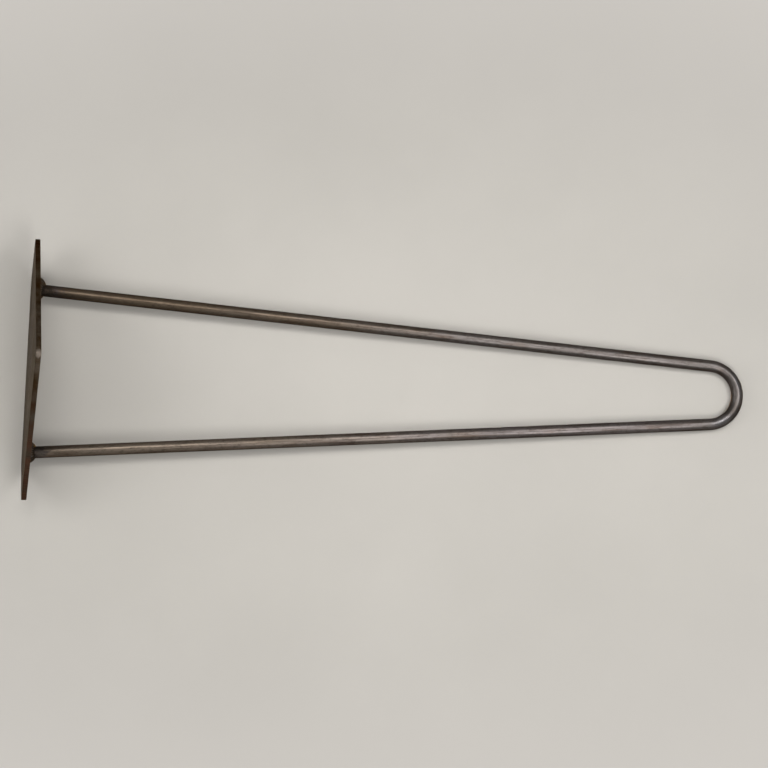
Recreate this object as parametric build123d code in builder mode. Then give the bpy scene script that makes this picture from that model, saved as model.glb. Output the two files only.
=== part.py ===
# Hairpin table leg: one bent steel rod welded to a flat mounting plate.
# Millimetres. The leg is drawn as it is used: +Z up, the mounting face at z = 0,
# the rods' line along X and the plate's apex towards -Y.
import os
from math import asin, atan, cos, degrees, hypot, radians, sin, sqrt

from build123d import *

os.makedirs("parts", exist_ok=True)

# Hairpin
leg_height = 711.0  # floor to mounting face
rod_dia = 12.0
rod_spacing = 166.0  # between rod centres at the plate's underside
bend_radius = 30.0  # to the rod's centre line
rake = 12.0  # lean of the hairpin towards the plate's apex, degrees

# Mounting plate, a square blank set corner-on with its back corner cut off
plate_side = 190.0
plate_depth = 175.0  # apex to the cut back edge
plate_thick = 5.0
rod_setback = 24.0  # back edge to the rods' line
corner_clip = 4.0  # the apex and side corners lose their points
edge_break = 0.4

# Screw holes
screw_hole_dia = 5.5
apex_hole_inset = 30.0  # from the apex point
side_hole_inset = 30.0  # from each side corner's point
rear_hole_inset = 13.0  # from the back edge
rear_hole_spacing = 70.0

# Weld beads, each a full fillet around a rod's end
weld_leg_plate = 6.0  # out along the plate from the rod's surface
weld_leg_rod = 8.0  # down the rod from the plate
weld_waist = 4.2  # stands out from the rod at mid height, for a full bead
weld_toe = 0.9  # stands out from the rod at the bead's lower edge

# Places on the plate
half_diagonal = plate_side / sqrt(2)
back_y = rod_setback
apex_y = back_y - plate_depth
side_y = apex_y + half_diagonal
plate_underside = Plane.XY.offset(-plate_thick)

# The hairpin's own plane: its X is the rods' line, its Y runs up the rake
hairpin_plane = Plane(
    origin=(0, 0, -plate_thick),
    x_dir=(1, 0, 0),
    z_dir=(0, -cos(radians(rake)), sin(radians(rake))),
)
tip_drop = (leg_height - plate_thick - rod_dia / 2) / cos(radians(rake))
bend_drop = tip_drop - bend_radius
half_spacing = rod_spacing / 2
reach = hypot(half_spacing, bend_drop)
rod_angle = atan(half_spacing / bend_drop) - asin(bend_radius / reach)
overrun = rod_dia  # rod drawn past the plate, then trimmed to it
rod_top = (half_spacing + overrun * sin(rod_angle), overrun * cos(rod_angle))
rod_tangent = (
    bend_radius * cos(rod_angle),
    -bend_drop - bend_radius * sin(rod_angle),
)


# Mounting plate
with BuildPart() as mounting_plate:
    with BuildSketch(plate_underside):
        with Locations((0, side_y)):
            Rectangle(plate_side, plate_side, rotation=45)
        with Locations((0, apex_y)):
            Rectangle(
                2 * plate_side,
                plate_depth,
                align=(Align.CENTER, Align.MIN),
                mode=Mode.INTERSECT,
            )
    extrude(amount=plate_thick)
    corners = mounting_plate.edges().filter_by(Axis.Z).sort_by(Axis.Y)
    chamfer(corners[:3], length=corner_clip)
    rims = mounting_plate.faces().filter_by(Axis.Z).edges()
    chamfer(rims, length=edge_break)
    with Locations(
        (0, apex_y + apex_hole_inset),
        (half_diagonal - side_hole_inset, side_y),
        (side_hole_inset - half_diagonal, side_y),
        (rear_hole_spacing / 2, back_y - rear_hole_inset),
        (-rear_hole_spacing / 2, back_y - rear_hole_inset),
    ):
        Hole(radius=screw_hole_dia / 2)
mounting_plate.part.label = "mounting_plate"
export_step(mounting_plate.part, "parts/mounting_plate.step")


# Hairpin rod, bent once and trimmed flush with the plate's underside
with BuildPart() as hairpin_rod:
    with BuildLine(hairpin_plane) as centre_line:
        leg = Line(rod_top, rod_tangent)
        JernArc(
            start=leg @ 1,
            tangent=leg % 1,
            radius=bend_radius,
            arc_size=degrees(rod_angle) - 90,
        )
        mirror(about=Plane.YZ)
    with BuildSketch(Plane(origin=leg @ 0, z_dir=leg % 0)):
        Circle(rod_dia / 2)
    sweep(path=centre_line.wire())
    split(bisect_by=plate_underside, keep=Keep.BOTTOM)
hairpin_rod.part.label = "hairpin_rod"
export_step(hairpin_rod.part, "parts/hairpin_rod.step")


# Weld beads, one around each end of the rod
for name, side in (("left", -1), ("right", 1)):
    rod_end = hairpin_plane.from_local_coords((side * half_spacing, 0))
    bend_end = hairpin_plane.from_local_coords((side * rod_tangent[0], rod_tangent[1]))
    down_rod = (bend_end - rod_end).normalized()
    waist_centre = rod_end + down_rod * (weld_leg_rod / 2)
    toe_centre = rod_end + down_rod * weld_leg_rod
    along_x = (1, 0, 0)
    bead_sections = (
        (Plane(rod_end, x_dir=along_x, z_dir=(0, 0, -1)), weld_leg_plate),
        (Plane(waist_centre, x_dir=along_x, z_dir=(0, 0, -1)), weld_waist),
        (Plane(toe_centre, x_dir=along_x, z_dir=down_rod), weld_toe),
    )
    with BuildPart() as weld_bead:
        for section_plane, stand_out in bead_sections:
            with BuildSketch(section_plane):
                Circle(rod_dia / 2 + stand_out)
        loft(ruled=True)
        with Locations(Plane(rod_end, z_dir=down_rod)):
            Cylinder(rod_dia / 2, 4 * weld_leg_rod, mode=Mode.SUBTRACT)
    weld_bead.part.label = f"weld_bead_{name}"
    export_step(weld_bead.part, f"parts/weld_bead_{name}.step")
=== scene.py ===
import math

import bmesh
import bpy
from mathutils import Matrix, Vector, noise


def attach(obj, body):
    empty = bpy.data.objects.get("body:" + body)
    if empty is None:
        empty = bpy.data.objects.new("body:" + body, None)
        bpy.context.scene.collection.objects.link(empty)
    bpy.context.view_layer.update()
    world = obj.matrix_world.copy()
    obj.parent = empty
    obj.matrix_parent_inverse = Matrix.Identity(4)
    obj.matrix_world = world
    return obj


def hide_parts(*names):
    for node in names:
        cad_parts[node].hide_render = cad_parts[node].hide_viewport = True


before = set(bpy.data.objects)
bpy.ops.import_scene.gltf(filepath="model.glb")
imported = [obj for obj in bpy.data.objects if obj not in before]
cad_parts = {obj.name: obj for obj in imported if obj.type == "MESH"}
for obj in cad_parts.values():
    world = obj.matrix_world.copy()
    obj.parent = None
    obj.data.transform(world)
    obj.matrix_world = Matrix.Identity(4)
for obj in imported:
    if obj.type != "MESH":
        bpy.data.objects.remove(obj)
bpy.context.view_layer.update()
scene = bpy.context.scene
scene.view_settings.view_transform = "Standard"
print("frame loaded:", ", ".join(sorted(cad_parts)))

fullTurn = 2 * math.pi
usualNoise = (0.30, 0.70)       # most of a noise pattern lies between these


# node helpers: a value is either a plain number or colour, or another node's output
def setInput(tree, socket, value):
    if isinstance(value, bpy.types.NodeSocket):
        tree.links.new(value, socket)
    elif value is not None:
        socket.default_value = value


def addNode(tree, kind, inputs=None, **settings):
    node = tree.nodes.new(kind)
    for key, value in settings.items():
        setattr(node, key, value)
    for key, value in (inputs or {}).items():
        setInput(tree, node.inputs[key], value)
    return node


def objectPlace(tree):
    return addNode(tree, "ShaderNodeTexCoord").outputs["Object"]


def attribute(tree, name, output):
    return addNode(tree, "ShaderNodeAttribute", attribute_name=name).outputs[output]


def separate(tree, vector):
    return addNode(tree, "ShaderNodeSeparateXYZ", {0: vector}).outputs


def stretch(tree, vector, factors):
    return addNode(tree, "ShaderNodeVectorMath", {0: vector, 1: factors},
                   operation="MULTIPLY").outputs["Vector"]


def maths(tree, operation, first, second=None, clamp=False):
    return addNode(tree, "ShaderNodeMath", {0: first, 1: second},
                   operation=operation, use_clamp=clamp).outputs["Value"]


# one operation along a list
def joined(tree, operation, values):
    result = values[0]
    for value in values[1:]:
        result = maths(tree, operation, result, value)
    return result


# a span of values turned into another, eased at both ends
def remap(tree, value, low, high, toLow=0.0, toHigh=1.0):
    return addNode(tree, "ShaderNodeMapRange", {
        "Value": value, "From Min": low, "From Max": high, "To Min": toLow, "To Max": toHigh},
        interpolation_type="SMOOTHSTEP").outputs["Result"]


# a value pushed up and down by a pattern, so that it isn't even
def ragged(tree, value, mask, by, span=usualNoise):
    return maths(tree, "ADD", value, remap(tree, mask, *span, -by, by))


def distanceTo(tree, vector, spot):
    return addNode(tree, "ShaderNodeVectorMath", {0: vector, 1: spot},
                   operation="DISTANCE").outputs["Value"]


def nearestTo(tree, vector, spots):
    return joined(tree, "MINIMUM", [distanceTo(tree, vector, spot) for spot in spots])


# a noise pattern: (repeats in a metre along each axis, detail, roughness, distortion)
def grain(tree, place, pattern):
    repeats, detail, rough, distortion = pattern
    return addNode(tree, "ShaderNodeTexNoise", {
        "Vector": stretch(tree, place, repeats), "Scale": 1.0, "Detail": detail,
        "Roughness": rough, "Distortion": distortion}).outputs["Fac"]


def grains(tree, place, patterns):
    return {name: grain(tree, place, pattern) for name, pattern in patterns.items()}


def blendColour(tree, factor, first, second):
    def full(colour):
        return (*colour, 1.0) if isinstance(colour, tuple) else colour
    return addNode(tree, "ShaderNodeMix", {0: factor, 6: full(first), 7: full(second)},
                   data_type="RGBA").outputs[2]      # 6 and 7 are the two colours, 2 the blend


# stains over each other: (pattern, value with none, value with most, strength, colour)
def stain(tree, colour, masks, piece, layers):
    for mask, none, most, strength, tone in layers:
        factor = remap(tree, masks[mask], none, most, 0, strength)
        colour = blendColour(tree, factor, colour, piece[tone])
    return colour


# bumps on top of each other: (pattern, depth)
def relief(tree, masks, layers):
    normal = None
    for mask, depth in layers:
        normal = addNode(tree, "ShaderNodeBump", {
            "Height": masks[mask], "Distance": depth, "Normal": normal}).outputs["Normal"]
    return normal


def startMaterial(name):
    material = bpy.data.materials.new(name)
    material.use_nodes = True
    tree = material.node_tree
    tree.nodes.clear()
    shader = addNode(tree, "ShaderNodeBsdfPrincipled")
    addNode(tree, "ShaderNodeOutputMaterial", {"Surface": shader.outputs["BSDF"]})
    return material, tree, shader


def finishMetal(tree, shader, colour, roughness, normal, glancing):
    shader.inputs["Metallic"].default_value = 1.0
    shader.inputs["Specular Tint"].default_value = (*glancing, 1)    # duller at a glancing angle
    setInput(tree, shader.inputs["Base Color"], colour)
    setInput(tree, shader.inputs["Roughness"], roughness)
    setInput(tree, shader.inputs["Normal"], normal)


# mesh helpers
def addObject(name, data):
    obj = bpy.data.objects.new(name, data)
    scene.collection.objects.link(obj)
    return obj


def addMesh(name, verts, faces, floats=None, vectors=None):
    mesh = bpy.data.meshes.new(name)
    mesh.from_pydata(verts, [], faces)
    for key, values in (floats or {}).items():
        mesh.attributes.new(key, "FLOAT", "POINT").data.foreach_set("value", values)
    for key, values in (vectors or {}).items():
        flat = [c for v in values for c in v]
        mesh.attributes.new(key, "FLOAT_VECTOR", "POINT").data.foreach_set("vector", flat)
    mesh.validate()
    return addObject(name, mesh)


# four-sided faces from each ring of points to the next
def bridge(ringCount, ringSize, closed):
    faces = []
    for index in range(ringCount if closed else ringCount - 1):
        a, b = index * ringSize, (index + 1) % ringCount * ringSize
        faces += [(a + k, b + k, b + (k + 1) % ringSize, a + (k + 1) % ringSize)
                  for k in range(ringSize)]
    return faces


def tidyNormals(obj, sharpAngle):
    work = bmesh.new()
    work.from_mesh(obj.data)
    bmesh.ops.recalc_face_normals(work, faces=work.faces)
    work.to_mesh(obj.data)
    work.free()
    obj.data.polygons.foreach_set("use_smooth", [True] * len(obj.data.polygons))
    obj.data.set_sharp_from_angle(angle=math.radians(sharpAngle))


# the bent rod: radius and line as the frame has them, worked finely enough for its marks
rod = {
    "radius": 0.006,
    "halfSpacing": 0.083,                   # rod centre to middle, at the plate's underside
    "bendRadius": 0.030,
    "rake": math.radians(12.0),
    "plateThick": 0.005,
    "legHeight": 0.711,
    "sides": 40,
    "straightStep": 0.003,
    "bendSteps": 90,
    "sharpAngle": 40,
    "waviness": 0.00005,                    # rolled bar is never quite round or straight
    "waveAlong": 45,
    "waveAround": 0.8,
    "narrowed": 0.015,                      # share of the radius lost across the bend
    "raised": 0.0075,                       # and gained square to it
    "squeezeFade": 0.012,                   # how far past the bend that goes on
    # rubbed places left by the bender, painted lighter in part as a highlight:
    # (distance from the bend's middle, angle, length, width, depth)
    "dieMarks": [(-0.0335, 84.0, 0.0120, 0.0050, 0.00022),
                 (0.0120, 62.0, 0.0120, 0.0030, 0.00006)],
    "dieFade": 1.6,
    # colours of the steel
    "nearPlate": (0.085, 0.066, 0.049),     # brown oiled scale
    "brighterStraight": (0.130, 0.107, 0.087),       # the other straight, painted lighter as a highlight
    "nearBend": (0.095, 0.087, 0.085),      # greyer towards the floor end, and lighter there as a painted highlight
    "brighterStraightBend": (0.108, 0.097, 0.097),   # the same, lighter as a painted highlight, on that straight
    # painted shade on the bend
    "bendShade": (0.036, 0.032, 0.030),
    "drawLine": (0.030, 0.022, 0.016),
    "rust": (0.050, 0.030, 0.019),
    "heatDark": (0.016, 0.014, 0.014),
    "heatBlue": (0.035, 0.036, 0.045),
    # rubbed bare, and lighter and bluer as a painted highlight
    "bareAndHighlight": (0.105, 0.110, 0.122),
    "glancing": (0.30, 0.255, 0.21),
    # where they change, by distance from the bend's middle
    "greyOver": (0.66, 0.18),
    "greyUneven": 0.12,
    "greySpan": (0.25, 0.75),               # of the pattern behind that
    "sidesMeet": (-0.03, 0.03),
    "footMeet": (-0.080, -0.045),
    # painted shade on the bend, one band either side of its middle, where the highlight dims:
    # (distance, reach, strength)
    "shadeBands": [(-0.0175, 0.0110, 0.60), (0.0260, 0.0100, 0.35)],
    "shadeCore": 0.35,                       # share of the reach at full strength
    "shadeUneven": 0.002,
    # heat from the welds, by distance from the rod's end
    "blueRise": (0.026, 0.018),
    "blueFall": (0.011, 0.016),
    "blueShare": 0.45,
    "burnt": (0.0155, 0.0115),
    "burntSpecks": (0.42, 0.58, 0.85, 0.35),    # pattern's low and high, and what they become
    "heatUneven": 0.005,
    "hotterBy": 0.004,                      # one weld ran hotter
    "rubbedSheenLines": (0.3, 0.6, 0.85, 0.35),
    "rough": (0.31, 0.43),
    "burntRougher": 0.16,
    "rubbedSmoother": 0.10,
    "grains": {
        "drawn": ((16, 700, 700), 4, 0.62, 0),
        "fine": ((60, 2600, 2600), 3, 0.6, 0),
        "blotch": ((26, 150, 150), 4, 0.6, 0),
        "speck": ((900, 900, 900), 3, 0.65, 0),
        "hands": ((11, 60, 60), 2, 0.5, 0),
        "mottle": ((190, 420, 420), 4, 0.68, 0),
    },
    "stains": [
        ("blotch", 0.50, 0.70, 0.48, "rust"),
        ("drawn", 0.50, 0.72, 0.75, "drawLine"),
        ("fine", 0.55, 0.75, 0.45, "drawLine"),
        ("mottle", 0.48, 0.66, 0.46, "drawLine"),
        ("speck", 0.62, 0.72, 0.40, "drawLine"),
    ],
    "relief": [("drawn", 0.00006), ("fine", 0.00002), ("mottle", 0.00004), ("speck", 0.00003)],
}

tipDrop = (rod["legHeight"] - rod["plateThick"] - rod["radius"]) / math.cos(rod["rake"])
bendDrop = tipDrop - rod["bendRadius"]
rodLean = (math.atan(rod["halfSpacing"] / bendDrop)
           - math.asin(rod["bendRadius"] / math.hypot(rod["halfSpacing"], bendDrop)))
halfArc = rod["bendRadius"] * (math.pi / 2 - rodLean)
straightRun = (bendDrop + rod["bendRadius"] * math.sin(rodLean)) / math.cos(rodLean)
halfLength = halfArc + straightRun
upRake = Vector((0, math.sin(rod["rake"]), math.cos(rod["rake"])))
offRake = Vector((0, -math.cos(rod["rake"]), math.sin(rod["rake"])))


def onRake(across, up):
    return Vector((across, 0, -rod["plateThick"])) + upRake * up


# place and direction on the rod's centre line, by distance from the bend's middle
def rodLine(distance):
    away = abs(distance)
    side = -1.0 if distance < 0 else 1.0
    if away <= halfArc:
        turn = away / rod["bendRadius"]
        across = rod["bendRadius"] * math.sin(turn)
        up = -bendDrop - rod["bendRadius"] * math.cos(turn)
        goAcross, goUp = math.cos(turn), math.sin(turn)
    else:
        run = away - halfArc
        across = rod["bendRadius"] * math.cos(rodLean) + run * math.sin(rodLean)
        up = -bendDrop - rod["bendRadius"] * math.sin(rodLean) + run * math.cos(rodLean)
        goAcross, goUp = math.sin(rodLean), math.cos(rodLean)
    return onRake(side * across, up), goAcross, side * goUp


# how far the bender has rubbed and dented a place on the rod
def dieMark(distance, angle):
    rub = dent = 0.0
    for at, face, length, width, depth in rod["dieMarks"]:
        gap = (math.degrees(angle) - face + 180) % 360 - 180
        reach = (((distance - at) / length) ** 2
                 + (math.radians(gap) * rod["radius"] / width) ** 2)
        share = math.exp(-reach * rod["dieFade"])
        rub += share
        dent += depth * share
    return min(1.0, rub), dent


def buildRod():
    runs = int(straightRun / rod["straightStep"])
    bends = rod["bendSteps"] // 2
    half = [halfArc * k / bends for k in range(bends + 1)]
    half += [halfArc + straightRun * (k + 1) / runs for k in range(runs)]
    stations = [-d for d in reversed(half[1:])] + half
    sides = rod["sides"]
    verts, places, rubbed = [], [], []
    for index, distance in enumerate(stations):
        centre, goAcross, goUp = rodLine(distance)
        along = Vector((goAcross, 0, 0)) + upRake * goUp
        outward = Vector((goUp, 0, 0)) - upRake * goAcross
        past = max(0.0, abs(distance) - halfArc)
        bent = max(0.0, 1 - past / rod["squeezeFade"])
        wide, tall = 1 - rod["narrowed"] * bent, 1 + rod["raised"] * bent
        for k in range(sides):
            angle = fullTurn * k / sides
            c, s = math.cos(angle), math.sin(angle)
            wave = noise.noise(Vector((distance * rod["waveAlong"],
                                       c * rod["waveAround"], s * rod["waveAround"])))
            rub, dent = dieMark(distance, angle)
            radius = rod["radius"] + rod["waviness"] * wave - dent
            point = centre + outward * (c * radius * wide) + offRake * (s * radius * tall)
            if index in (0, len(stations) - 1):       # ends are trimmed flush with the plate
                point += along * ((-rod["plateThick"] - point.z) / along.z)
            verts.append(point)
            places.append((distance, c * rod["radius"], s * rod["radius"]))
            rubbed.append(rub)
    faces = bridge(len(stations), sides, closed=False)
    faces.append(tuple(range(sides)))
    faces.append(tuple(reversed(range(len(verts) - sides, len(verts)))))
    obj = addMesh("hairpinRod", verts, faces, {"rubbed": rubbed}, {"rodPlace": places})
    tidyNormals(obj, rod["sharpAngle"])
    return obj


def rodMaterial():
    material, tree, shader = startMaterial("rodSteel")
    place = attribute(tree, "rodPlace", "Vector")       # the rod laid out straight
    rub = attribute(tree, "rubbed", "Fac")
    along = separate(tree, place)["X"]
    away = maths(tree, "ABSOLUTE", along)
    masks = grains(tree, place, rod["grains"])

    # brown by the plate, greyer by the bend, never evenly
    uneven = ragged(tree, away, masks["hands"], -rod["greyUneven"], rod["greySpan"])
    towardBend = remap(tree, uneven, *rod["greyOver"])
    # one straight painted lighter than the other, as a painted highlight
    straight = blendColour(tree, remap(tree, along, *rod["sidesMeet"]),
                           rod["brighterStraight"], rod["nearPlate"])
    footEnd = blendColour(tree, remap(tree, along, *rod["footMeet"]),
                          rod["brighterStraightBend"], rod["nearBend"])
    colour = blendColour(tree, towardBend, straight, footEnd)
    # painted shade: darker bands on the bend where the highlight dims
    for at, reach, strength in rod["shadeBands"]:
        gap = maths(tree, "ABSOLUTE", maths(tree, "SUBTRACT", along, at))
        gap = ragged(tree, gap, masks["mottle"], rod["shadeUneven"])
        band = remap(tree, gap, reach, reach * rod["shadeCore"], 0, strength)
        colour = blendColour(tree, band, colour, rod["bendShade"])
    colour = stain(tree, colour, masks, rod, rod["stains"])

    # heat from the weld: blue edge, then dark mottled scale
    edge = ragged(tree, away, masks["mottle"], rod["heatUneven"])
    edge = ragged(tree, edge, along, rod["hotterBy"], rod["sidesMeet"])
    rise, fall, burnt = [remap(tree, edge, halfLength - none, halfLength - most)
                         for none, most in (rod["blueRise"], rod["blueFall"], rod["burnt"])]
    blue = joined(tree, "MULTIPLY", [rise, fall, rod["blueShare"]])
    colour = blendColour(tree, blue, colour, rod["heatBlue"])
    dark = maths(tree, "MULTIPLY", burnt, remap(tree, masks["speck"], *rod["burntSpecks"]))
    colour = blendColour(tree, dark, colour, rod["heatDark"])
    # the bender's rubs: bare and smoother, and painted lighter and bluer as a highlight
    bright = maths(tree, "MULTIPLY", rub, remap(tree, masks["fine"], *rod["rubbedSheenLines"]))
    colour = blendColour(tree, bright, colour, rod["bareAndHighlight"])

    roughness = remap(tree, masks["drawn"], *usualNoise, *rod["rough"])
    rougher = maths(tree, "MULTIPLY", burnt, rod["burntRougher"])
    smoother = maths(tree, "MULTIPLY", rub, rod["rubbedSmoother"])
    roughness = maths(tree, "SUBTRACT", maths(tree, "ADD", roughness, rougher), smoother)
    normal = relief(tree, masks, rod["relief"])
    finishMetal(tree, shader, colour, roughness, normal, rod["glancing"])
    return material


hairpinRod = buildRod()
hairpinRod.data.materials.append(rodMaterial())
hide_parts("hairpin_rod")
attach(hairpinRod, "root")
print("rod:", len(hairpinRod.data.polygons), "faces, half length", round(halfLength, 4))


# the plate: a square blank corner-on, its back corner cut off, points clipped
plate = {
    "side": 0.190,
    "depth": 0.175,                         # apex point to the cut back edge
    "thick": rod["plateThick"],
    "backEdge": 0.024,
    "clip": 0.004,
    "edgeRound": 0.0004,
    "edgeSteps": 3,
    "holeRadius": 0.00275,
    "holeSides": 48,
    "holes": [(0, -0.121), (0.10435, -0.01665), (-0.10435, -0.01665),
              (0.035, 0.011), (-0.035, 0.011)],
    "mergeWithin": 0.000004,
    "sharpAngle": 50,
    "flatFrom": 0.9,                        # upright enough to count as a face, not the edge
    # colours of the steel
    "scale": (0.097, 0.086, 0.072),         # olive brown mill scale
    "scaleGrey": (0.093, 0.090, 0.087),     # where the scale is thick and clean
    "scaleDark": (0.059, 0.049, 0.038),
    "rust": (0.095, 0.061, 0.039),
    "scratch": (0.300, 0.275, 0.240),
    "cutEdge": (0.022, 0.012, 0.004),
    "cutEdgeLighter": (0.095, 0.050, 0.035),   # lighter, towards the side corner at −X
    # bare metal, and the apex's painted highlight
    "bareAndHighlight": (0.113, 0.096, 0.082),
    "heatDark": (0.015, 0.013, 0.013),
    "heatBlue": (0.040, 0.044, 0.058),
    "glancingTop": (0.58, 0.50, 0.42),
    # painted shade: duller underneath, against the lamps' glare
    "glancingUnderShaded": (0.40, 0.36, 0.31),
    "glancingEdge": (0.54, 0.41, 0.27),
    # scratches: (slant, how much of the pattern stays clear)
    "scratches": [(0.30, 0.66), (0.58, 0.69), (-1.15, 0.71)],
    "scratchGrain": ((11, 900, 0), 2, 0.55, 0.15),
    "scratchSoft": 0.05,
    "scratchPatches": (0.42, 0.58, 0.15, 0.45),
    # heat rings, by distance from the weld's middle
    "blueRise": (0.017, 0.023, 0, 0.7),
    "blueFall": (0.032, 0.025),
    "darkRing": (0.022, 0.014, 0, 0.85),
    "ringUneven": 0.004,
    "heatThrough": (-0.004, -0.001, 1.0, 0.35),     # fainter on the mounting face
    # bare metal round the holes and along the cut edge's corners; at the apex bare metal and a
    # painted highlight
    "holeBare": (0.0042, 0.0032, 0, 0.8),
    "holeUneven": 0.0006,
    "apexBareAndHighlight": (0.0050, 0.0034, 0, 0.9),
    "apexUneven": 0.0012,
    "cornerBare": (0.0019, 0.0024),
    "cornerPatches": (0.50, 0.66, 0, 0.55),
    "lighterOver": (-0.11, -0.02),             # cut edge lighter before the first, dark past the second
    "faceRough": (0.47, 0.59),
    "streakRough": 0.05,                    # streaks from the rolls
    "streakSpan": (0.35, 0.65),
    "faceGrains": {
        "cloud": ((22, 22, 22), 5, 0.6, 0.4),
        "rolled": ((18, 420, 200), 4, 0.6, 0),
        "speck": ((620, 620, 620), 4, 0.65, 0),
        "flake": ((95, 95, 95), 5, 0.62, 0.8),
        "wide": ((9, 16, 9), 3, 0.55, 0.3),
    },
    "faceStains": [
        ("cloud", 0.42, 0.70, 0.65, "scaleDark"),
        ("wide", 0.46, 0.60, 0.75, "scaleGrey"),
        ("rolled", 0.52, 0.74, 0.50, "scaleDark"),
        ("flake", 0.60, 0.72, 0.50, "rust"),
        ("speck", 0.60, 0.72, 0.45, "scaleDark"),
    ],
    "faceRelief": [("flake", 0.00005), ("speck", 0.00005)],
    "edgeRough": (0.46, 0.64),
    "edgeGrains": {
        "drag": ((1500, 1500, 90), 3, 0.6, 0),
        "cloud": ((60, 60, 60), 4, 0.6, 0),
        "speck": ((700, 700, 700), 3, 0.65, 0),
    },
    "edgeStains": [
        ("cloud", 0.35, 0.70, 1.0, "scaleDark"),
        ("drag", 0.52, 0.72, 0.5, "heatDark"),
        ("speck", 0.58, 0.70, 0.5, "rust"),
    ],
    "edgeRelief": [("drag", 0.00010), ("speck", 0.00004)],
}
halfDiagonal = plate["side"] / math.sqrt(2)
apexPoint = plate["backEdge"] - plate["depth"]
sideLine = apexPoint + halfDiagonal
clipReach = plate["clip"] / math.sqrt(2)
midPlate = -plate["thick"] / 2


def plateOutline():
    cut = clipReach
    backHalf = halfDiagonal - (plate["backEdge"] - sideLine)
    rightHalf = [(cut, apexPoint + cut), (halfDiagonal - cut, sideLine - cut),
                 (halfDiagonal - cut, sideLine + cut), (backHalf, plate["backEdge"])]
    return rightHalf + [(-x, y) for x, y in reversed(rightHalf)]


def holeRing(x, y):
    angles = [fullTurn * k / plate["holeSides"] for k in range(plate["holeSides"])]
    return [(x + plate["holeRadius"] * math.cos(a), y + plate["holeRadius"] * math.sin(a))
            for a in angles]


def buildPlate():
    curve = bpy.data.curves.new("plateOutline", "CURVE")
    curve.dimensions = "2D"
    curve.fill_mode = "BOTH"
    curve.bevel_depth = plate["edgeRound"]
    curve.bevel_resolution = plate["edgeSteps"]
    curve.offset = -plate["edgeRound"]
    curve.extrude = plate["thick"] / 2 - plate["edgeRound"]
    for ring in [plateOutline()] + [holeRing(x, y) for x, y in plate["holes"]]:
        spline = curve.splines.new("POLY")
        spline.points.add(len(ring) - 1)
        for point, (x, y) in zip(spline.points, ring):
            point.co = (x, y, 0, 1)
        spline.use_cyclic_u = True
    drawn = addObject("plateOutline", curve)
    bpy.context.view_layer.update()
    evaluated = drawn.evaluated_get(bpy.context.evaluated_depsgraph_get())
    mesh = bpy.data.meshes.new_from_object(evaluated)
    bpy.data.objects.remove(drawn)
    bpy.data.curves.remove(curve)
    mesh.transform(Matrix.Translation((0, 0, midPlate)))
    work = bmesh.new()
    work.from_mesh(mesh)
    bmesh.ops.remove_doubles(work, verts=work.verts, dist=plate["mergeWithin"])
    work.to_mesh(mesh)
    work.free()
    obj = addObject("mountingPlate", mesh)
    tidyNormals(obj, plate["sharpAngle"])
    return obj


def plateFaceMaterial(name, glancing):
    material, tree, shader = startMaterial(name)
    place = objectPlace(tree)
    masks = grains(tree, place, plate["faceGrains"])
    colour = stain(tree, plate["scale"], masks, plate, plate["faceStains"])

    # a few fine scratches from stacking, mostly one way
    lines = []
    for slant, clear in plate["scratches"]:
        turned = addNode(tree, "ShaderNodeVectorRotate", {"Vector": place, "Angle": slant},
                         rotation_type="Z_AXIS").outputs["Vector"]
        pattern = grain(tree, turned, plate["scratchGrain"])
        lines.append(remap(tree, pattern, clear, clear + plate["scratchSoft"]))
    scratched = maths(tree, "MULTIPLY", joined(tree, "MAXIMUM", lines),
                      remap(tree, masks["wide"], *plate["scratchPatches"]))
    colour = blendColour(tree, scratched, colour, plate["scratch"])

    # heat rings in the scale round each weld
    feet = [(side * rod["halfSpacing"], 0, midPlate) for side in (-1, 1)]
    ring = ragged(tree, nearestTo(tree, place, feet), masks["flake"], plate["ringUneven"])
    through = remap(tree, separate(tree, place)["Z"], *plate["heatThrough"])
    blue = joined(tree, "MULTIPLY", [remap(tree, ring, *plate["blueRise"]),
                                     remap(tree, ring, *plate["blueFall"]), through])
    colour = blendColour(tree, blue, colour, plate["heatBlue"])
    dark = maths(tree, "MULTIPLY", remap(tree, ring, *plate["darkRing"]), through)
    colour = blendColour(tree, dark, colour, plate["heatDark"])

    # bare rims where the drill broke through
    rim = nearestTo(tree, stretch(tree, place, (1, 1, 0)), [(x, y, 0) for x, y in plate["holes"]])
    rim = ragged(tree, rim, masks["speck"], plate["holeUneven"])
    colour = blendColour(tree, remap(tree, rim, *plate["holeBare"]), colour, plate["bareAndHighlight"])

    roughness = remap(tree, masks["flake"], *usualNoise, *plate["faceRough"])
    roughness = ragged(tree, roughness, masks["rolled"], plate["streakRough"], plate["streakSpan"])
    normal = relief(tree, masks, plate["faceRelief"])
    finishMetal(tree, shader, colour, roughness, normal, glancing)
    return material


def plateEdgeMaterial():
    material, tree, shader = startMaterial("plateCutEdge")
    place = objectPlace(tree)
    axes = separate(tree, place)
    masks = grains(tree, place, plate["edgeGrains"])
    cut = blendColour(tree, remap(tree, axes["X"], *plate["lighterOver"]),
                      plate["cutEdgeLighter"], plate["cutEdge"])
    colour = stain(tree, cut, masks, plate, plate["edgeStains"])
    # the apex flat is ground bare, and painted lighter as its highlight
    apex = distanceTo(tree, place, (0, apexPoint + clipReach, midPlate))
    apex = ragged(tree, apex, masks["speck"], plate["apexUneven"])
    colour = blendColour(tree, remap(tree, apex, *plate["apexBareAndHighlight"]), colour, plate["bareAndHighlight"])
    # corners that have knocked against things
    fromMiddle = maths(tree, "ABSOLUTE", maths(tree, "SUBTRACT", axes["Z"], midPlate))
    knocked = maths(tree, "MULTIPLY", remap(tree, fromMiddle, *plate["cornerBare"]),
                    remap(tree, masks["cloud"], *plate["cornerPatches"]))
    colour = blendColour(tree, knocked, colour, plate["bareAndHighlight"])
    roughness = remap(tree, masks["drag"], *usualNoise, *plate["edgeRough"])
    normal = relief(tree, masks, plate["edgeRelief"])
    finishMetal(tree, shader, colour, roughness, normal, plate["glancingEdge"])
    return material


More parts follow.
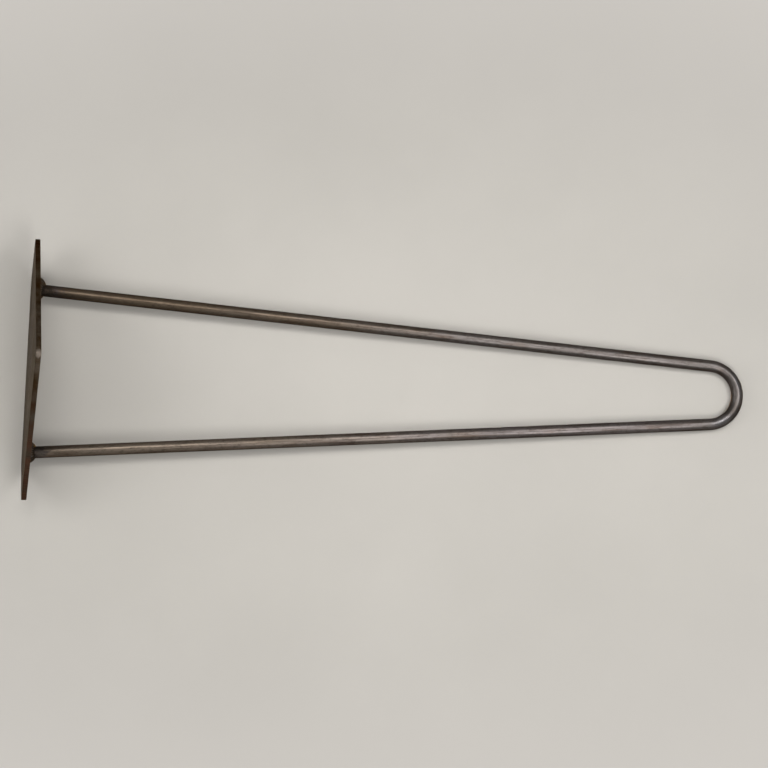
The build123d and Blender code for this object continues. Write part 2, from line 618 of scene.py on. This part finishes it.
mountingPlate = buildPlate()
mountingPlate.data.materials.append(plateFaceMaterial("plateTopScale", plate["glancingTop"]))
# painted shade: the underside's copy is duller at a glancing angle
mountingPlate.data.materials.append(plateFaceMaterial("plateUnderScaleShaded", plate["glancingUnderShaded"]))
mountingPlate.data.materials.append(plateEdgeMaterial())
for face in mountingPlate.data.polygons:
    up, flat = face.normal.z, plate["flatFrom"]
    face.material_index = 0 if up > flat else 1 if up < -flat else 2
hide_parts("mounting_plate")
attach(mountingPlate, "root")
print("plate:", len(mountingPlate.data.polygons), "faces")


# the fillet welds: one pass round each rod, with its ripples
weld = {
    "legPlate": 0.0058,                     # out along the plate from the rod
    "legRod": 0.0078,                       # down the rod
    "unevenness": 0.0008,
    "unevenPlate": 1.7,                     # how quickly each leg wanders
    "unevenRod": 2.3,
    "crown": 0.0008,
    "crownUneven": 0.0005,
    "crownCurve": 0.8,
    "ripples": 25,
    "rippleDepth": 0.00026,
    "rippleBow": 1.5,                       # the middle of each ripple runs ahead
    "rippleUneven": 0.7,
    "stopLump": 0.0005,                     # where the pass begins and ends
    "stopSpread": 0.22,
    "skin": 0.00010,
    "skinAround": 9,
    "skinAcross": 5,
    "inPlate": 0.00004,                     # how deep its toes are set, so that no gap shows
    "inRod": 0.00008,
    "backIn": 0.0006,                       # the unseen back, further in
    "backShare": 0.9,
    "around": 150,
    "across": 18,
    "sharpAngle": 60,
    # heavy and lean places: (angle, more along the plate, more down the rod, more crown, spread)
    "lapsLeft": [(0.0, 0.0006, 0.0004, 0.0003, 0.8), (math.pi, -0.0010, -0.0008, 0.0, 0.8)],
    "lapsRight": [(0.0, 0.0024, 0.0008, 0.0011, 0.9), (math.pi, -0.0008, -0.0008, 0.0, 0.8)],
    "startLeft": 1.1,                       # angle at which the pass begins
    "startRight": 2.4,
    # colours of the bead
    "dark": (0.028, 0.023, 0.018),
    # ripple crests painted lighter, a painted highlight
    "crest": (0.092, 0.079, 0.066),
    "brown": (0.048, 0.030, 0.018),
    "blue": (0.032, 0.035, 0.048),
    "glancing": (0.50, 0.42, 0.34),
    "crestOver": (0.35, 0.95),
    "crestSpecks": (0.3, 0.6, 0.5, 1.0),
    "rough": (0.40, 0.62),
    "grains": {
        "cloud": ((210, 210, 210), 4, 0.6, 0.5),
        "speck": ((1500, 1500, 1500), 3, 0.65, 0),
    },
    "stains": [("cloud", 0.52, 0.66, 0.75, "brown"), ("cloud", 0.42, 0.32, 0.6, "blue")],
    "relief": [("speck", 0.00006)],
}


def buildWeld(name, side, start, laps):
    rodEnd = onRake(side * rod["halfSpacing"], 0)
    downRod = (rodLine(side * halfArc)[0] - rodEnd).normalized()
    firstAxis = (Vector((1, 0, 0)) - downRod * downRod.x).normalized()
    secondAxis = downRod.cross(firstAxis)
    if secondAxis.y < 0:
        secondAxis = -secondAxis
    around, across = weld["around"], weld["across"]
    byPlate, byRod, bySkin = weld["unevenPlate"], weld["unevenRod"], weld["skinAround"]
    backRadius = rod["radius"] - weld["backIn"]
    verts, crest = [], []
    for k in range(around):
        angle = fullTurn * k / around
        c, s = math.cos(angle), math.sin(angle)
        flat = Vector((c, s, 0))
        off = firstAxis * c + secondAxis * s
        # the shifts keep the legs and the two beads from wandering alike
        wander = noise.noise(Vector((c * byPlate + side * 5, s * byPlate, start)))
        rodWander = noise.noise(Vector((c * byRod, s * byRod + side * 9, start + 4)))
        travel = (angle - start) % fullTurn
        stop = sum(math.exp(-(gap / weld["stopSpread"]) ** 2)
                   for gap in (travel, fullTurn - travel))
        legPlate = weld["legPlate"] + weld["unevenness"] * wander
        legRod = weld["legRod"] + weld["unevenness"] * rodWander
        crown = weld["crown"] + weld["crownUneven"] * wander
        for at, morePlate, moreRod, moreCrown, spread in laps:
            gap = (angle - at + math.pi) % fullTurn - math.pi
            share = math.exp(-(gap / spread) ** 2)
            legPlate += morePlate * share
            legRod += moreRod * share
            crown += moreCrown * share
        toe = rodEnd + flat * (rod["radius"] + legPlate)
        toe.z = -rod["plateThick"] + weld["inPlate"]
        top = rodEnd + downRod * legRod + off * (rod["radius"] - weld["inRod"])
        push = (flat + downRod).normalized()
        for j in range(across + 1):
            t = j / across
            hump = math.sin(math.pi * t)
            phase = (weld["ripples"] * travel / 2 + weld["rippleBow"] * (2 * t - 1) ** 2
                     + weld["rippleUneven"] * wander)
            scallop = abs(math.sin(phase))
            lift = hump ** weld["crownCurve"] * (
                crown + weld["rippleDepth"] * (scallop - 0.5) + weld["stopLump"] * stop)
            skin = weld["skin"] * hump * noise.noise(
                Vector((c * bySkin, s * bySkin, t * weld["skinAcross"] + side * 3)))
            verts.append(toe.lerp(top, t) + push * (lift + skin))
            crest.append(scallop * hump)
        # back of the bead, out of sight inside the joint
        verts.append(rodEnd + downRod * weld["legRod"] * weld["backShare"] + off * backRadius)
        inner = rodEnd + flat * backRadius
        inner.z = toe.z
        verts.append(inner)
        crest += [0.0, 0.0]
    ringSize = across + 3       # the face's points and the two at the back
    obj = addMesh(name, verts, bridge(around, ringSize, closed=True), {"crest": crest})
    tidyNormals(obj, weld["sharpAngle"])
    return obj


def weldMaterial():
    material, tree, shader = startMaterial("weldMetal")
    crest = attribute(tree, "crest", "Fac")
    masks = grains(tree, objectPlace(tree), weld["grains"])
    # specks on the ripple crests painted lighter: painted highlight
    lit = maths(tree, "MULTIPLY", crest, remap(tree, masks["speck"], *weld["crestSpecks"]))
    colour = blendColour(tree, remap(tree, lit, *weld["crestOver"]), weld["dark"], weld["crest"])
    colour = stain(tree, colour, masks, weld, weld["stains"])
    roughness = remap(tree, masks["speck"], *usualNoise, *weld["rough"])
    normal = relief(tree, masks, weld["relief"])
    finishMetal(tree, shader, colour, roughness, normal, weld["glancing"])
    return material


weldSteel = weldMaterial()
for name, node, side, start, laps in (
        ("weldLeft", "weld_bead_left", -1, weld["startLeft"], weld["lapsLeft"]),
        ("weldRight", "weld_bead_right", 1, weld["startRight"], weld["lapsRight"])):
    bead = buildWeld(name, side, start, laps)
    bead.data.materials.append(weldSteel)
    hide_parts(node)
    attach(bead, "root")
    print("weld:", name, len(bead.data.polygons), "faces")


# pale floor and room: the leg lies on the floor, plate's back edge and bend touching
stage = {
    "floorColour": (0.485, 0.468, 0.437),
    "floorShade": 0.94,                     # its darker patches
    "floorGrain": ((3, 3, 3), 4, 0.6, 0),
    "floorRough": 0.85,
    "floorSheen": 0.2,
    "floorSize": 6.0,
    "floorGap": 0.0002,
    "paleTone": (0.63, 0.60, 0.56),         # the floor away from the leg, and the room beyond it
    "farFrom": 0.20,
    "farTo": 0.55,
    "farShape": (1, 1, 0.5),                # reaches about twice as far lengthwise
    "fillColour": (0.98, 0.99, 1.0),
    "fillLevel": 0.25,
}


# rays that look at the background, rather than gather light from it
def seenRay(tree):
    path = addNode(tree, "ShaderNodeLightPath").outputs
    seen = maths(tree, "ADD", path["Is Camera Ray"], path["Is Glossy Ray"])
    return maths(tree, "ADD", seen, path["Is Transmission Ray"], clamp=True)


def floorMaterial(middle):
    material, tree, shader = startMaterial("paleFloor")
    tone = remap(tree, grain(tree, objectPlace(tree), stage["floorGrain"]), *usualNoise)
    shade = tuple(c * stage["floorShade"] for c in stage["floorColour"])
    setInput(tree, shader.inputs["Base Color"],
             blendColour(tree, tone, stage["floorColour"], shade))
    shader.inputs["Roughness"].default_value = stage["floorRough"]
    shader.inputs["Specular IOR Level"].default_value = stage["floorSheen"]
    # away from the leg it keeps one pale tone, whatever the lamps do there
    geometry = addNode(tree, "ShaderNodeNewGeometry").outputs
    spot = stretch(tree, geometry["Position"], stage["farShape"])
    gap = distanceTo(tree, spot, middle * Vector(stage["farShape"]))
    far = maths(tree, "MULTIPLY", remap(tree, gap, stage["farFrom"], stage["farTo"]), seenRay(tree))
    even = addNode(tree, "ShaderNodeEmission", {"Color": (*stage["paleTone"], 1), "Strength": 1.0})
    lit = addNode(tree, "ShaderNodeMixShader", {
        0: far, 1: shader.outputs["BSDF"], 2: even.outputs["Emission"]})
    # seen from behind it is clear, so the leg's back can be looked at
    clear = addNode(tree, "ShaderNodeBsdfTransparent")
    mixed = addNode(tree, "ShaderNodeMixShader", {
        0: geometry["Backfacing"], 1: lit.outputs["Shader"], 2: clear.outputs["BSDF"]})
    output = next(n for n in tree.nodes if n.type == "OUTPUT_MATERIAL")
    tree.links.new(mixed.outputs["Shader"], output.inputs["Surface"])
    return material


def buildFloor():
    plateFoot = Vector((0, plate["backEdge"], 0))
    bendBack = rodLine(0)[0] - offRake * rod["radius"]
    run = (bendBack - plateFoot).normalized()
    across = Vector((1, 0, 0))
    facing = across.cross(run)
    if facing.y > 0:
        facing = -facing
    middle = (plateFoot + bendBack) / 2 - facing * stage["floorGap"]
    half = stage["floorSize"] / 2
    corners = [middle + across * x * half + run * y * half
               for x, y in ((-1, -1), (1, -1), (1, 1), (-1, 1))]
    mesh = bpy.data.meshes.new("paleFloor")
    mesh.from_pydata(corners, [], [(0, 1, 2, 3)])
    mesh.update()
    if mesh.polygons[0].normal.dot(facing) < 0:
        mesh.flip_normals()
    mesh.materials.append(floorMaterial(middle))
    floor = addObject("paleFloor", mesh)
    floor.visible_shadow = False     # lets the back panel reach the leg's far side
    return facing


def buildWorld():
    world = bpy.data.worlds.new("paleRoom")
    world.use_nodes = True
    tree = world.node_tree
    tree.nodes.clear()
    fill, backdrop = [
        addNode(tree, "ShaderNodeBackground", {"Color": (*colour, 1), "Strength": level})
        for colour, level in ((stage["fillColour"], stage["fillLevel"]), (stage["paleTone"], 1.0))]
    mixed = addNode(tree, "ShaderNodeMixShader", {
        0: seenRay(tree), 1: fill.outputs["Background"], 2: backdrop.outputs["Background"]})
    addNode(tree, "ShaderNodeOutputWorld", {"Surface": mixed.outputs["Shader"]})
    scene.world = world


floorFacing = buildFloor()
buildWorld()
print("floor and world set, floor faces", tuple(round(c, 3) for c in floorFacing))


# soft lamps: (place, aim, size across, size along, watts, colour, spread in degrees)
lamps = {
    "keySoftbox": ((0.477, -1.653, 0.034), (0, -0.052, -0.258),
                   0.45, 1.15, 1.32, (1.0, 0.975, 0.94), 50),      # this one wears a grid
    "sidePanel": ((-0.801, -1.591, -0.395), (0.014, -0.171, -0.764),
                  0.72, 0.62, 12.8, (1.0, 0.985, 0.965), 180),
    "endPanel": ((0.170, -1.463, -0.906), (0, -0.150, -0.660),
                 0.42, 0.46, 6.2, (1.0, 0.99, 0.985), 180),
    "headPanel": ((0.108, -0.719, 0.932), (0, -0.060, 0.0),
                  0.60, 0.80, 5.0, (1.0, 0.985, 0.965), 180),
    "backPanel": ((0.311, 1.450, -1.180), (0, -0.090, -0.480),
                  0.70, 1.80, 30.0, (1.0, 0.985, 0.965), 180),
}
for name, (place, aim, width, length, watts, tint, spread) in lamps.items():
    light = bpy.data.lights.new(name, "AREA")
    light.shape = "RECTANGLE"
    light.size, light.size_y = width, length
    light.energy = watts
    light.color = tint
    light.spread = math.radians(spread)
    # off for the back panel, whose light has to pass the one-sided floor
    light.cycles.use_multiple_importance_sampling = name != "backPanel"
    lamp = addObject(name, light)
    lamp.location = place
    lamp.rotation_euler = (Vector(aim) - Vector(place)).to_track_quat("-Z", "Y").to_euler()
    lamp.visible_camera = False
print("lamps:", ", ".join(lamps))


# camera: square on to the floor the leg lies on, leg lengthwise across the picture
view = {
    "place": (-0.22921, -2.00992, 0.09567),
    "turn": (14.6731, 76.5889, -81.6704),
    "lens": 92.41,
    "sensor": 36,
    "near": 0.05,
    "far": 50,
}
eye = bpy.data.cameras.new("photoView")
eye.lens = view["lens"]
eye.sensor_width = view["sensor"]
eye.clip_start, eye.clip_end = view["near"], view["far"]
camera = addObject("photoView", eye)
camera.location = view["place"]
camera.rotation_euler = [math.radians(a) for a in view["turn"]]
scene.camera = camera
print("camera set")
